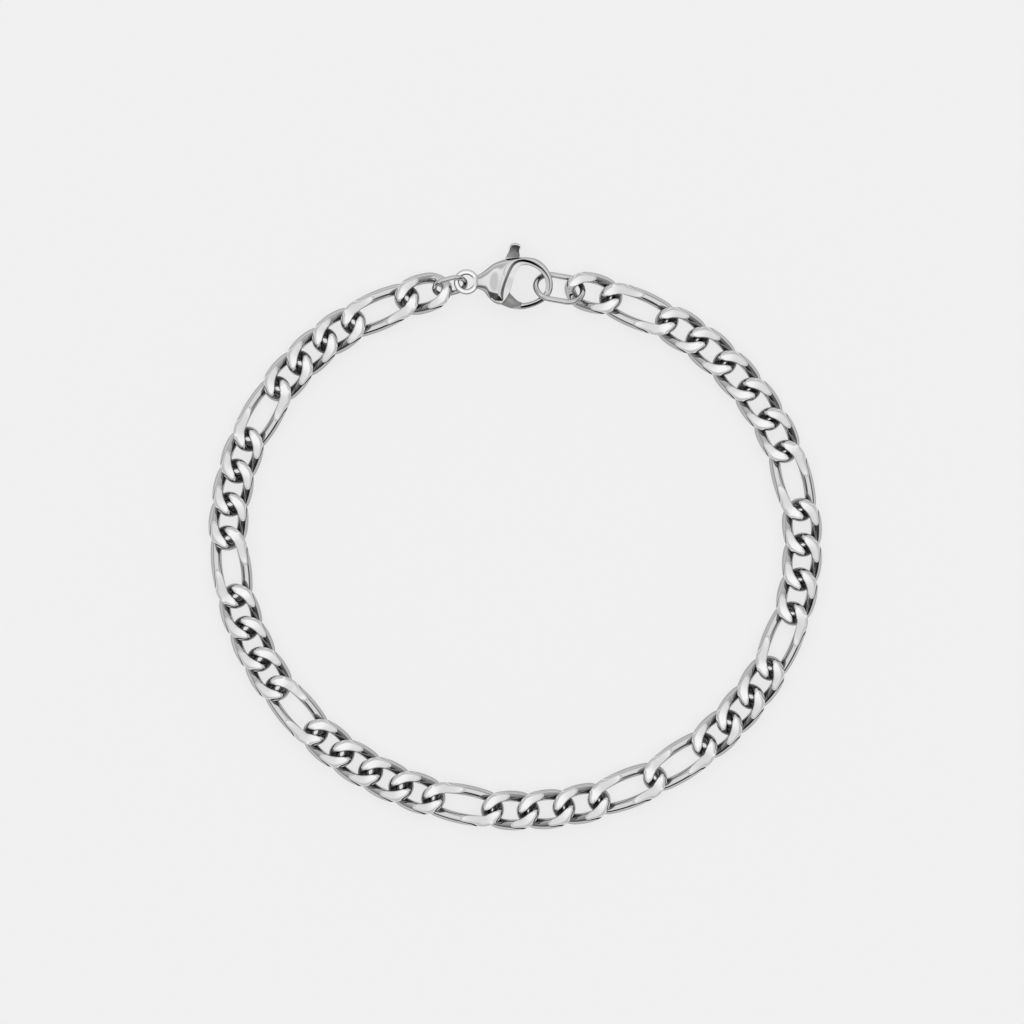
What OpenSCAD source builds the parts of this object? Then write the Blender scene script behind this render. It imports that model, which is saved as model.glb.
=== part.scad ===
// Flat-ground chain bracelet of alternating short and long links, closed by a lobster clasp.
// Millimetres, +Z up. It lies flat: Z 0 is the surface under it, and the origin is the middle of
// its outline. +Y points at the clasp, and the clasp's hook points along +X.

/* [Chain] */
// Diameter of the wire that each link is bent from
wire_d = 1.35; // [1.1:0.05:1.4]
// Width of a link across its two sides
link_width = 4.9; // [4.7:0.1:5.3]
// Outer length of a short link
short_len = 7.3; // [7.1:0.1:8]
// Outer length of a long link
long_len = 10.35; // [9.5:0.05:12]
// Thickness of the chain between its ground faces
chain_thick = 2; // [1.6:0.05:2.3]
// Twist of a link at each of its two ends, in degrees
link_twist = 48; // [46:1:50]
// Air between two links whose joint is pulled tight
link_gap = 0.18; // [0.14:0.01:0.22]
// How much further a joint closes up when the chain lies slack
link_play = 0.25; // [0:0.05:0.25]

/* [Clasp body] */
// Reach of the clasp from the middle of its eye to the far side of its hook
clasp_reach = 10.65; // [10:0.05:12]
// Height of the clasp across its hook, without the thumb piece
clasp_height = 6.4; // [6:0.1:7.2]
// Thickness of the clasp body at its fattest
clasp_thick = 3.2; // [3.1:0.05:3.4]
// Outer diameter of the clasp's eye
eye_d = 3.1; // [2.9:0.05:3.3]
// Diameter of the hole in the eye
eye_hole_d = 1.75; // [1.65:0.05:1.9]
// Thickness of the eye
eye_thick = 0.7; // [0.6:0.05:0.8]
// How far the clasp stands outside the straight line between the chain's two ends
clasp_rise = 0.8; // [0.5:0.05:1.1]
// How far the middle of the fastening lies to the right of the loop's own axis
clasp_shift = -0.75; // [-3:0.25:3]

/* [Lever] */
// Thickness of the lever's plate
lever_thick = 0.6; // [0.4:0.05:0.7]
// Thickness of the lever's thumb piece
thumb_thick = 1.5; // [1:0.1:2]
// Air on each side of the plate in its slot
slot_gap = 0.1; // [0.08:0.01:0.15]
// Swing of the lever from shut to open, in degrees
lever_swing = 25; // [15:1:25]
// Diameter of the hidden pin that the lever turns on
pin_d = 0.8; // [0.6:0.05:0.9]
// Length of the pin
pin_len = 2.2; // [1.8:0.1:2.4]
// Running gap round the pin
pin_gap = 0.05; // [0.03:0.01:0.08]

/* [Rings] */
// Outer length of the jump ring that the hook catches
jump_len = 6.55; // [6.1:0.1:7]
// Outer width of the jump ring
jump_width = 4.6; // [4.5:0.1:4.8]
// Wire of the jump ring
jump_wire = 0.7; // [0.6:0.05:0.75]
// Tilt of the jump ring round its long axis, in degrees
jump_tilt = 38; // [36:1:40]
// Outer length of the small ring at the clasp's eye
end_len = 4.5; // [4.2:0.1:4.8]
// Outer width of the small ring
end_width = 3.5; // [3.4:0.1:3.6]
// Wire of the small ring
end_wire = 0.6; // [0.5:0.05:0.65]
// Tilt of the small ring round its long axis, in degrees
end_tilt = 54; // [50:1:56]
// Slack of the jump ring against the inside of the hook
jump_slack = 0.7; // [0.6:0.05:0.8]
// How far below the level of the eye the jump ring lies in the hook
jump_dip = 0.3; // [0.2:0.05:0.4]
// How far below the chain's own line the jump ring lies in the first link
jump_sag = 0.5; // [0.4:0.05:0.6]
// Slack of the small ring against the inside of the eye
end_slack = 0.25; // [0.2:0.05:0.3]
// Slack of each ring against the link that it is threaded through
ring_play = 0.4; // [0.3:0.05:0.5]
// How far each ring slopes down on its way from the clasp to the chain
ring_drop = 0.2; // [0.1:0.05:0.3]

/* [Hidden] */
// Short links in each run between two long links, walked clockwise from the jump ring
short_runs = [1, 5, 3, 3, 0, 3, 4, 3, 3, 3, 1];
// Slack of the joints in each of those runs and at its long link: 0 is tight, 1 is closed up
run_slack = [0, 0, 0.5, 1, 0, 0, 1, 1, 1, 1, 1];
// Distance of the chain's middle line from the loop's middle every 22.5 degrees, clockwise from
// the clasp. The loop as a whole is scaled to the length of the chain.
loop_radii = [31.7, 32.0, 33.5, 34.9, 35.7, 35.6, 34.9, 34.2,
              33.8, 33.8, 34.4, 35.0, 35.5, 35.1, 33.9, 32.4];
loop_steps = 24;
// Sections of a link or ring round each end and along its two sides, and sides of a ring's wire
end_rings = 6;
side_rings = 4;
ring_sides = 8;

// Sections of the clasp from its neck round to the nose of its hook. Each row is the outer point
// and the inner point as shares of the clasp's reach and height, measured from the eye, and the
// thickness as a share of the body's.
clasp_sections = [
    // outer x, outer y, inner x, inner y, thickness
    [0.105, 0.100, 0.105, -0.100, 0.25],
    [0.150, 0.145, 0.150, -0.145, 0.30],
    [0.220, 0.230, 0.203, -0.190, 0.46],
    [0.300, 0.335, 0.255, -0.300, 0.72],
    [0.381, 0.400, 0.324, -0.405, 0.93],
    [0.451, 0.437, 0.405, -0.430, 1.00],
    [0.509, 0.452, 0.468, -0.308, 0.98],
    [0.561, 0.462, 0.509, -0.163, 0.92],
    [0.613, 0.469, 0.543, 0.048, 0.82],
    [0.665, 0.471, 0.578, 0.221, 0.69],
    [0.728, 0.467, 0.636, 0.312, 0.55],
    [0.815, 0.433, 0.740, 0.308, 0.44],
    [0.902, 0.327, 0.836, 0.217, 0.34],
    [0.965, 0.173, 0.896, 0.096, 0.30],
    [0.997, -0.010, 0.917, -0.029, 0.29],
    [0.986, -0.192, 0.911, -0.160, 0.30],
    [0.931, -0.327, 0.871, -0.250, 0.32],
    [0.850, -0.423, 0.803, -0.337, 0.36],
    [0.751, -0.490, 0.728, -0.385, 0.41],
    [0.676, -0.521, 0.665, -0.402, 0.44],
    [0.630, -0.529, 0.630, -0.400, 0.44]];
clasp_sides = 14;
// Fullness of a section: 1 is an ellipse, less is squarer
clasp_fullness = 0.8;

// The lever's pivot and outline as shares of the clasp's reach and height, from the eye
pivot = [0.451 * clasp_reach, 0.106 * clasp_height];
thumb_points = [[0.440, 0.423], [0.497, 0.615], [0.509, 0.692], [0.530, 0.731], [0.561, 0.747],
                [0.595, 0.731], [0.619, 0.692], [0.613, 0.615], [0.619, 0.520], [0.600, 0.400],
                [0.530, 0.150], [0.380, 0.200]];
gate_points = [[0.530, 0.140], [0.510, -0.100], [0.497, -0.200], [0.515, -0.240],
               [0.565, -0.325], [0.600, -0.372], [0.645, -0.400], [0.645, -0.440]];
gate_heel = [[0.390, -0.425], [0.385, -0.250], [0.375, 0.050]];

// The links in order: 1 is a short one and 2 is a long one
run_count = len(short_runs);
link_kinds = [for (r = [0 : run_count - 1])
                  each concat([for (k = [1 : 1 : short_runs[r]]) 1], r < run_count - 1 ? [2] : [])];
link_runs = [for (r = [0 : run_count - 1])
                 each concat([for (k = [1 : 1 : short_runs[r]]) r], r < run_count - 1 ? [r] : [])];
link_count = len(link_kinds);
link_lens = [for (kind = link_kinds) kind == 1 ? short_len : long_len];
link_r = (link_width - wire_d) / 2;

// Distance between the two wires' middles where neighbours meet, ring and link or link and link
end_meet = (wire_d + end_wire) / 2 + link_gap + ring_play;
jump_meet = (wire_d + jump_wire) / 2 + link_gap + ring_play;
link_meets = [for (k = [0 : link_count])
                  let (before = run_slack[link_runs[max(k - 1, 0)]],
                       after = run_slack[link_runs[min(k, link_count - 1)]])
                  k == 0 ? jump_meet
                  : k == link_count ? end_meet
                  : wire_d + link_gap + link_play * (before + after) / 2];
link_pitches = [for (i = [0 : link_count - 1])
                    link_lens[i] - wire_d - (link_meets[i] + link_meets[i + 1]) / 2];

function total(list, n) = n <= 0 ? 0 : list[n - 1] + total(list, n - 1);

chain_len = total(link_pitches, link_count);

// The rings and the clasp, along the line between the chain's two ends
end_span = end_len - end_wire;
jump_span = jump_len - jump_wire;
end_turn = asin(clasp_rise / (end_span - end_meet / 2));
eye_x = (end_span - end_meet / 2) * cos(end_turn) + eye_hole_d / 2 - link_gap - end_wire / 2
        - end_slack;
hook_inside_x = eye_x + clasp_reach * max([for (row = clasp_sections) row[2]]);
jump_turn = -asin((clasp_rise - jump_dip + jump_sag) / jump_span);
jump_left_x = hook_inside_x - link_gap - jump_wire / 2 - jump_slack;
clasp_span = jump_left_x + jump_span * cos(jump_turn) - jump_meet / 2;

// The loop's middle line, a closed smooth curve through the chosen radii
loop_len = chain_len + clasp_span * (1 + pow(clasp_span * PI / chain_len, 2) / 6);
loop_nodes = [for (i = [0 : len(loop_radii) - 1])
                  let (turn = 90 - 360 * i / len(loop_radii))
                  loop_radii[i] * [cos(turn), sin(turn)]];

function wrapped(list, i) = list[(i + len(list)) % len(list)];
function smooth(a, b, c, d, t) =
    0.5 * (2 * b + (c - a) * t + (2 * a - 5 * b + 4 * c - d) * t * t
           + (3 * b - a - 3 * c + d) * t * t * t);

loop_points = [for (i = [0 : len(loop_nodes)], step = [0 : loop_steps - 1])
                   smooth(wrapped(loop_nodes, i - 1), wrapped(loop_nodes, i),
                          wrapped(loop_nodes, i + 1), wrapped(loop_nodes, i + 2),
                          step / loop_steps)];
loop_steps_all = len(loop_nodes) * loop_steps;
loop_gone = [for (i = 0, gone = 0; i < len(loop_points);
                  gone = gone + norm(loop_points[min(i + 1, len(loop_points) - 1)] - loop_points[i]),
                  i = i + 1) gone];
loop_scale = loop_len / loop_gone[loop_steps_all];
loop_xs = [for (i = [0 : len(loop_points) - 1]) [loop_gone[i], loop_points[i][0]]];
loop_ys = [for (i = [0 : len(loop_points) - 1]) [loop_gone[i], loop_points[i][1]]];

function on_loop(way) =
    let (at = way / loop_scale) loop_scale * [lookup(at, loop_xs), lookup(at, loop_ys)];

chain_start = clasp_shift + (loop_len - chain_len) / 2;
raw_joints = [for (k = [0 : link_count]) on_loop(chain_start + total(link_pitches, k))];

// The thumb piece and the chain set the outline that the origin is the middle of
thumb_top = clasp_height * max([for (p = thumb_points) p[1]]);
raw_top = (raw_joints[0][1] + raw_joints[link_count][1]) / 2 + clasp_rise + thumb_top;
raw_low = min([for (p = raw_joints) p[1]]) - link_width / 2;
raw_right = max([for (p = raw_joints) p[0]]) + link_width / 2;
raw_left = min([for (p = raw_joints) p[0]]) - link_width / 2;
loop_centre = [(raw_left + raw_right) / 2, (raw_low + raw_top) / 2];
joints = [for (p = raw_joints) p - loop_centre];

// Heights. The low side of the jump ring lies on the surface.
chain_z = chain_thick / 2;
clasp_z = clasp_thick / 2;
jump_r = (jump_width - jump_wire) / 2;
jump_z = jump_wire / 2 + jump_r * sin(jump_tilt)
         + (jump_span / 2 - jump_r) * ring_drop / jump_span;
end_z = clasp_z - ring_drop / 2;

// The fastening's own frame starts at the chain's last joint and runs to its first one
span_line = joints[0] - joints[link_count];
span_turn = atan2(span_line[1], span_line[0]);
span_start = joints[link_count] + (norm(span_line) - clasp_span) / 2 * span_line / norm(span_line);

module in_fastening() {
    translate([span_start[0], span_start[1], 0])
        rotate(span_turn)
            children();
}

module in_clasp() {
    in_fastening()
        translate([eye_x, clasp_rise, clasp_z])
            children();
}

// Sweeps a ring of points per station into a closed loop
module closed_sweep(stations) {
    rings = len(stations);
    sides = len(stations[0]);
    points = [for (station = stations) each station];
    faces = [for (i = [0 : rings - 1], k = [0 : sides - 1])
                 let (a = i * sides + k,
                      b = i * sides + (k + 1) % sides,
                      c = ((i + 1) % rings) * sides + (k + 1) % sides,
                      d = ((i + 1) % rings) * sides + k)
                 each [[a, d, c], [a, c, b]]];
    polyhedron(points = points, faces = faces);
}

// Middle line of a loop with round ends, as [x, y], starting at the left end's top
function oval_line(half_len, r, sides_n) =
    concat([for (i = [0 : end_rings - 1])
                let (turn = 90 - 180 * i / (end_rings - 1))
                [half_len - r + r * cos(turn), r * sin(turn)]],
           [for (i = [1 : sides_n])
                [(half_len - r) * (1 - 2 * i / (sides_n + 1)), -r]],
           [for (i = [0 : end_rings - 1])
                let (turn = -90 - 180 * i / (end_rings - 1))
                [r - half_len + r * cos(turn), r * sin(turn)]],
           [for (i = [1 : sides_n])
                [(half_len - r) * (2 * i / (sides_n + 1) - 1), r]]);

function twisted(p, twist, half_len) =
    let (turn = -twist * p[0] / half_len) [p[0], p[1] * cos(turn), p[1] * sin(turn)];

// Angle at which the wire's round meets a ground face, or its natural corner where it does not
function ground_angle(reach, wire_r, corner) =
    reach >= wire_r * sin(corner) ? corner : asin(max(reach / wire_r, 0.05));

// One six-sided section of a wire whose top and bottom are ground off at half_thick
function ground_section(before, at, after, wire_r, half_thick) =
    let (way = (after - before) / norm(after - before),
         side = cross([0, 0, 1], way) / norm(cross([0, 0, 1], way)),
         up = cross(way, side),
         top = ground_angle((half_thick - at[2]) / up[2], wire_r, 60),
         low = ground_angle((half_thick + at[2]) / up[2], wire_r, 60))
    [for (turn = [0, top, 180 - top, 180, 180 + low, -low])
         at + wire_r * (side * cos(turn) + up * sin(turn))];

// One round section of a wire
function round_section(before, at, after, wire_r, sides) =
    let (way = (after - before) / norm(after - before),
         side = cross([0, 0, 1], way) / norm(cross([0, 0, 1], way)),
         up = cross(way, side))
    [for (k = [0 : sides - 1])
         let (turn = 360 * (k + 0.5) / sides)
         at + wire_r * (side * cos(turn) + up * sin(turn))];

// One twisted link, lying along X about the origin
module link_shape(outer_len) {
    half_len = (outer_len - wire_d) / 2;
    line = [for (p = oval_line(half_len, link_r, side_rings / 2)) twisted(p, link_twist, half_len)];
    closed_sweep([for (i = [0 : len(line) - 1])
                      ground_section(wrapped(line, i - 1), line[i], wrapped(line, i + 1),
                                     wire_d / 2, chain_thick / 2)]);
}

// One plain ring, lying along X about the origin, tilted round its long axis
module ring_shape(outer_len, outer_width, ring_wire, tilt) {
    half_len = (outer_len - ring_wire) / 2;
    r = (outer_width - ring_wire) / 2;
    line = [for (p = oval_line(half_len, r, 1)) [p[0], p[1], 0]];
    rotate([tilt, 0, 0])
        closed_sweep([for (i = [0 : len(line) - 1])
                          round_section(wrapped(line, i - 1), line[i], wrapped(line, i + 1),
                                        ring_wire / 2, ring_sides)]);
}

module chain_link(i) {
    from = joints[i - 1];
    to = joints[i];
    along = (to - from) / norm(to - from);
    // Tips meet unevenly where the slack changes, so the link sits between its own two tips
    middle = (from + to) / 2 + along * (link_meets[i - 1] - link_meets[i]) / -4;
    color("silver")
        translate([middle[0], middle[1], chain_z])
            rotate(atan2(along[1], along[0]))
                link_shape(link_lens[i - 1]);
}

function signed_power(v, e) = sign(v) * pow(abs(v), e);

function clasp_row(t) =
    let (i = min(floor(t), len(clasp_sections) - 2),
         last = len(clasp_sections) - 1,
         f = t - i)
    smooth(clasp_sections[max(i - 1, 0)], clasp_sections[i],
           clasp_sections[i + 1], clasp_sections[min(i + 2, last)], f);

function clasp_ring(row) =
    let (outer = [row[0] * clasp_reach, row[1] * clasp_height],
         inner = [row[2] * clasp_reach, row[3] * clasp_height],
         middle = (outer + inner) / 2,
         half = (outer - inner) / 2,
         half_thick = row[4] * clasp_thick / 2)
    [for (k = [0 : clasp_sides - 1])
         let (turn = 360 * k / clasp_sides,
              flat = middle + half * signed_power(cos(turn), clasp_fullness))
         [flat[0], flat[1], half_thick * signed_power(sin(turn), clasp_fullness)]];

// The solid that runs through the clasp's sections, closed at both ends
module clasp_loft() {
    halves = 2 * (len(clasp_sections) - 1);
    rings = [for (i = [0 : halves]) clasp_ring(clasp_row(i / 2))];
    points = [for (ring = rings) each ring];
    walls = [for (i = [0 : halves - 1], k = [0 : clasp_sides - 1])
                 let (a = i * clasp_sides + k,
                      b = i * clasp_sides + (k + 1) % clasp_sides,
                      c = b + clasp_sides,
                      d = a + clasp_sides)
                 each [[a, c, b], [a, d, c]]];
    first_cap = [for (k = [0 : clasp_sides - 1]) k];
    last_cap = [for (k = [0 : clasp_sides - 1]) (halves + 1) * clasp_sides - 1 - k];
    polyhedron(points = points, faces = concat(walls, [first_cap, last_cap]));
}

module eye_shape() {
    inner = eye_hole_d / 2;
    outer = eye_d / 2;
    half = eye_thick / 2;
    bevel = 0.2 * (outer - inner);
    rotate_extrude($fn = 48)
        polygon([[inner, bevel - half], [inner, half - bevel], [inner + bevel, half],
                 [outer - bevel, half], [outer, half - bevel], [outer, bevel - half],
                 [outer - bevel, -half], [inner + bevel, -half]]);
}

thumb_base = 0.5;
gate_reach = 0.625 * clasp_height;
pivot_r = 0.145 * clasp_height;

function clasp_scaled(shares) = [for (p = shares) [p[0] * clasp_reach, p[1] * clasp_height]];

module lever_outline() {
    translate(pivot)
        circle(r = pivot_r, $fn = 32);
    polygon(clasp_scaled(thumb_points));
    intersection() {
        polygon(clasp_scaled(concat(gate_points, [[0.600, -0.600], [0.400, -0.600]], gate_heel)));
        translate(pivot)
            circle(r = gate_reach, $fn = 96);
        gate_underside();
    }
}

// What lies above the gate's lower edge, which carries on the body's underside
module gate_underside() {
    polygon(clasp_scaled([[0.350, -0.395], [0.405, -0.440], [0.480, -0.490], [0.555, -0.530],
                          [0.700, -0.560], [0.700, 0.300], [0.350, 0.300]]));
}

// Everything that the lever's plate sweeps, with air round it
module lever_sweep() {
    step = lever_swing / 5;
    for (turn = [0 : step : lever_swing])
        translate(pivot)
            rotate(turn)
                translate(-pivot)
                    offset(delta = slot_gap)
                        lever_outline();
}

module pin_hole() {
    translate([pivot[0], pivot[1], -pin_len / 2 - pin_gap])
        cylinder(d = pin_d + 2 * pin_gap, h = pin_len + 2 * pin_gap, $fn = 32);
}

module clasp_body() {
    slot_half = lever_thick / 2 + slot_gap;
    color("gainsboro")
        in_clasp()
            difference() {
                union() {
                    clasp_loft();
                    eye_shape();
                }
                cylinder(d = eye_hole_d, h = clasp_thick, center = true, $fn = 48);
                translate([0, 0, -slot_half])
                    linear_extrude(height = 2 * slot_half)
                        lever_sweep();
                pin_hole();
            }
}

module clasp_lever() {
    color("darkgray")
        in_clasp()
            difference() {
                union() {
                    translate([0, 0, -lever_thick / 2])
                        linear_extrude(height = lever_thick)
                            lever_outline();
                    translate([0, 0, -thumb_thick / 2])
                        linear_extrude(height = thumb_thick)
                            intersection() {
                                polygon(clasp_scaled(thumb_points));
                                translate([0, thumb_base * clasp_height])
                                    square([clasp_reach, clasp_height]);
                            }
                }
                pin_hole();
            }
}

module clasp_pin() {
    color("gray")
        in_clasp()
            translate([pivot[0], pivot[1], -pin_len / 2])
                cylinder(d = pin_d, h = pin_len, $fn = 32);
}

module jump_ring() {
    pitch = asin(ring_drop / jump_span);
    color("lightgray")
        in_fastening()
            translate([jump_left_x, clasp_rise - jump_dip, jump_z + ring_drop / 2])
                rotate([0, pitch, jump_turn])
                    translate([jump_span / 2, 0, 0])
                        ring_shape(jump_len, jump_width, jump_wire, -jump_tilt);
}

module end_ring() {
    pitch = -asin(ring_drop / end_span);
    color("lightgray")
        in_fastening()
            rotate(end_turn)
                translate([end_span / 2 - end_meet / 2, 0, end_z])
                    rotate([0, pitch, 0])
                        ring_shape(end_len, end_width, end_wire, end_tilt);
}

function link_name(i) = str("link_", i < 10 ? "0" : "", i);

clasp_body();
clasp_lever();
clasp_pin();
jump_ring();
end_ring();
for (i = [1 : link_count])
    chain_link(i);
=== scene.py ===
import math

import bpy
import numpy as np
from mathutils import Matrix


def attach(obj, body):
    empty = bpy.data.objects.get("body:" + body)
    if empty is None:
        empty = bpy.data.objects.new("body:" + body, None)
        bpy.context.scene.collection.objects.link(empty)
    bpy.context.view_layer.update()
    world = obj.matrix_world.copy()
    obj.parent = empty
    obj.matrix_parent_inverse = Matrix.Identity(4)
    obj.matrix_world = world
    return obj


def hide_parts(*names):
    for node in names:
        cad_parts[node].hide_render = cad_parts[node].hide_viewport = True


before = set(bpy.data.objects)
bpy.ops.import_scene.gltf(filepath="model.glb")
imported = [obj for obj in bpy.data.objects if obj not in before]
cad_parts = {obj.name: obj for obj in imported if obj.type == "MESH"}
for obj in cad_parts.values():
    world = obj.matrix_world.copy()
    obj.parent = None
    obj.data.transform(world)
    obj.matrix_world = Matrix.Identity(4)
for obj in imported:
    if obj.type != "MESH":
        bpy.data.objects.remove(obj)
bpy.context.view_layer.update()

MM = 0.001
UP = np.array([0.0, 0.0, 1.0])

# Sizes of the chain, in millimetres, and the twist of its links in degrees, as in the solids
WIRE_D = 1.35
LINK_WIDTH = 4.9
SHORT_LEN = 7.3
LONG_LEN = 10.35
HALF_THICK = 1.0
TWIST = 48.0

# Sizes of the rings: outer length, outer width and wire
JUMP_SIZES = (6.55, 4.6, 0.70)
END_SIZES = (4.5, 3.5, 0.60)

# Sizes of the clasp, as in the solids, and how far it is turned in the plan
CLASP_REACH = 10.65
CLASP_HEIGHT = 6.4
CLASP_THICK = 3.2
CLASP_TURN = math.radians(0.07)
EYE_D = 3.1
EYE_HOLE_D = 1.75
EYE_THICK = 0.7
LEVER_THICK = 0.6
THUMB_THICK = 1.5
# Gaps round the lever's plate in its slot, and between the gate and the nose's tongue
SLOT_GAP = 0.1
TONGUE_GAP = 0.02
# The lever's swing in degrees, and the steps in which the slot for it is cut
LEVER_SWING = 25
SWING_STEP = 5
PIN_HOLE_D = 0.9
PIN_HOLE_LEN = 2.3

# Helpers


def unit(v):
    return v / np.linalg.norm(v, axis=-1, keepdims=True)


def node_points(name):
    """A solid's corners and triangles, in millimetres."""
    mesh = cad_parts[name].data
    mesh.calc_loop_triangles()
    points = np.array([v.co for v in mesh.vertices]) / MM
    faces = np.array([t.vertices[:] for t in mesh.loop_triangles])
    return points, faces


def node_frame(name):
    """The middle of a solid's surface and its long, middle and short directions."""
    points, faces = node_points(name)
    a, b, c = points[faces[:, 0]], points[faces[:, 1]], points[faces[:, 2]]
    area = np.linalg.norm(np.cross(b - a, c - a), axis=1)
    centre = ((a + b + c) * area[:, None]).sum(0) / (3 * area.sum())
    spread = np.zeros((3, 3))
    for corner in (a - centre, b - centre, c - centre, a + b + c - 3 * centre):
        spread += (corner * area[:, None]).T @ corner / 12
    ways = np.linalg.eigh(spread)[1]
    return centre, ways[:, 2], ways[:, 1], ways[:, 0]


def new_object(name, points, faces):
    mesh = bpy.data.meshes.new(name)
    mesh.from_pydata((np.asarray(points, float) * MM).tolist(), [], [list(map(int, f)) for f in faces])
    mesh.validate()
    mesh.update()
    mesh.shade_smooth()
    obj = bpy.data.objects.new(name, mesh)
    bpy.context.scene.collection.objects.link(obj)
    return obj


def set_attribute(obj, name, values):
    layer = obj.data.attributes.new(name, "FLOAT", "POINT")
    layer.data.foreach_set("value", np.asarray(values, dtype=np.float32))


def tube_faces(rings, sides, closed):
    """Quads between rings of points, and from the last ring to the first if closed, else with ends."""
    faces = []
    for i in range(rings if closed else rings - 1):
        j = (i + 1) % rings
        for k in range(sides):
            m = (k + 1) % sides
            faces.append((i * sides + k, i * sides + m, j * sides + m, j * sides + k))
    if not closed:
        faces.append(tuple(reversed(range(sides))))
        faces.append(tuple(range((rings - 1) * sides, rings * sides)))
    return faces


def flip(faces):
    return [tuple(reversed(f)) for f in faces]


def signed_power(v, e):
    return np.sign(v) * np.abs(v) ** e


def catmull(a, b, c, d, t):
    return 0.5 * (2 * b + (c - a) * t + (2 * a - 5 * b + 4 * c - d) * t * t
                  + (3 * b - a - 3 * c + d) * t * t * t)


def along_rows(rows, t):
    """A smooth way through the rows of a table, at row number t."""
    last = len(rows) - 1
    i = min(int(t), last - 1)
    return catmull(rows[max(i - 1, 0)], rows[i], rows[i + 1], rows[min(i + 2, last)], t - i)


def combine(obj, other, how):
    """Cuts or joins the two and keeps the result in the first one."""
    step = obj.modifiers.new("combine", "BOOLEAN")
    step.operation = how
    step.solver = "MANIFOLD"
    step.object = other
    apply_modifiers(obj)
    bpy.data.objects.remove(other)


def apply_modifiers(obj):
    graph = bpy.context.evaluated_depsgraph_get()
    graph.update()
    mesh = bpy.data.meshes.new_from_object(obj.evaluated_get(graph))
    obj.modifiers.clear()
    obj.data = mesh
    mesh.name = obj.name


def crisp(obj, degrees):
    """Smooth shading apart from edges sharper than this."""
    obj.data.shade_smooth()
    obj.data.set_sharp_from_angle(angle=math.radians(degrees))


def bevel(obj, width, segments, degrees):
    step = obj.modifiers.new("bevel", "BEVEL")
    step.width = width * MM
    step.segments = segments
    step.limit_method = "ANGLE"
    step.angle_limit = math.radians(degrees)
    apply_modifiers(obj)


def prism(name, outline, low, high):
    """A flat outline, counterclockwise, between two heights."""
    points = [(x, y, z) for z in (low, high) for x, y in outline]
    return new_object(name, points, tube_faces(2, len(outline), closed=False))


def arc(centre, r, start, end, steps):
    turns = np.radians(np.linspace(start, end, steps + 1))
    return [(centre[0] + r * math.cos(t), centre[1] + r * math.sin(t)) for t in turns]


# Materials


def add(tree, kind, **settings):
    node = tree.nodes.new(kind)
    for key, value in settings.items():
        if key in node.inputs:
            node.inputs[key].default_value = value
        else:
            setattr(node, key, value)
    return node


def range_map(tree, value, low, high, new_low, new_high):
    node = add(tree, "ShaderNodeMapRange")
    for key, number in (("From Min", low), ("From Max", high), ("To Min", new_low), ("To Max", new_high)):
        node.inputs[key].default_value = number
    tree.links.new(value, node.inputs["Value"])
    return node.outputs["Result"]


def blend_colours(tree, share, first, second):
    """Mixes two colours, each a socket or a plain colour, by a share between 0 and 1."""
    node = add(tree, "ShaderNodeMix", data_type="RGBA")
    tree.links.new(share, node.inputs[0])
    for socket, colour in ((node.inputs[6], first), (node.inputs[7], second)):
        if isinstance(colour, tuple):
            socket.default_value = (*colour, 1)
        else:
            tree.links.new(colour, socket)
    return node.outputs[2]


# Clouds of tone and smears of polish, each by its scale, detail and roughness
CLOUDS = (420.0, 3.0, 0.55)
SMEARS = (900.0, 5.0, 0.6)
# The noise values of the finest and the roughest polish
SMEAR_SPREAD = (0.3, 0.7)
# Hairline scratches: the same, and how they are turned and stretched, and how deep they are in metres
HAIRS = (2600.0, 4.0, 0.7)
HAIR_TURN = (0.3, 0.2, 0.7)
HAIR_STRETCH = (1.0, 9.0, 3.0)
HAIR_DEPTH = 0.00002
# Worn edges: how sharp a plain and a worn edge are, how much is worn, and the bare steel's tint
EDGE_SHARP = (0.50, 0.58)
EDGE_WEAR = 0.2
WORN_TINT = (0.90, 0.90, 0.91)
# Crevices, painted shade: how far off a wall counts as near, in millimetres, how open a fully shaded and an
# unshaded place are, and how rough a shaded place is and the tint of its painted shade
CREVICE_REACH = 1.8
CREVICE_OPEN = (0.22, 0.68)
CREVICE_ROUGH = 0.42
CREVICE_SHADE_TINT = (0.03, 0.03, 0.028)
# Painted shade on steep sides, darker the steeper the surface: how level a dark and a light place are,
# and the tint of the painted shade
SIDE_LEVEL = (0.25, 0.90)
SIDE_SHADE_TINT = (0.06, 0.06, 0.06)


def noise(tree, where, look):
    """Noise of a look, which is its scale, detail and roughness."""
    scale, detail, roughness = look
    node = add(tree, "ShaderNodeTexNoise", Scale=scale, Detail=detail, Roughness=roughness)
    tree.links.new(where, node.inputs["Vector"])
    return node.outputs["Fac"]


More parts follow.
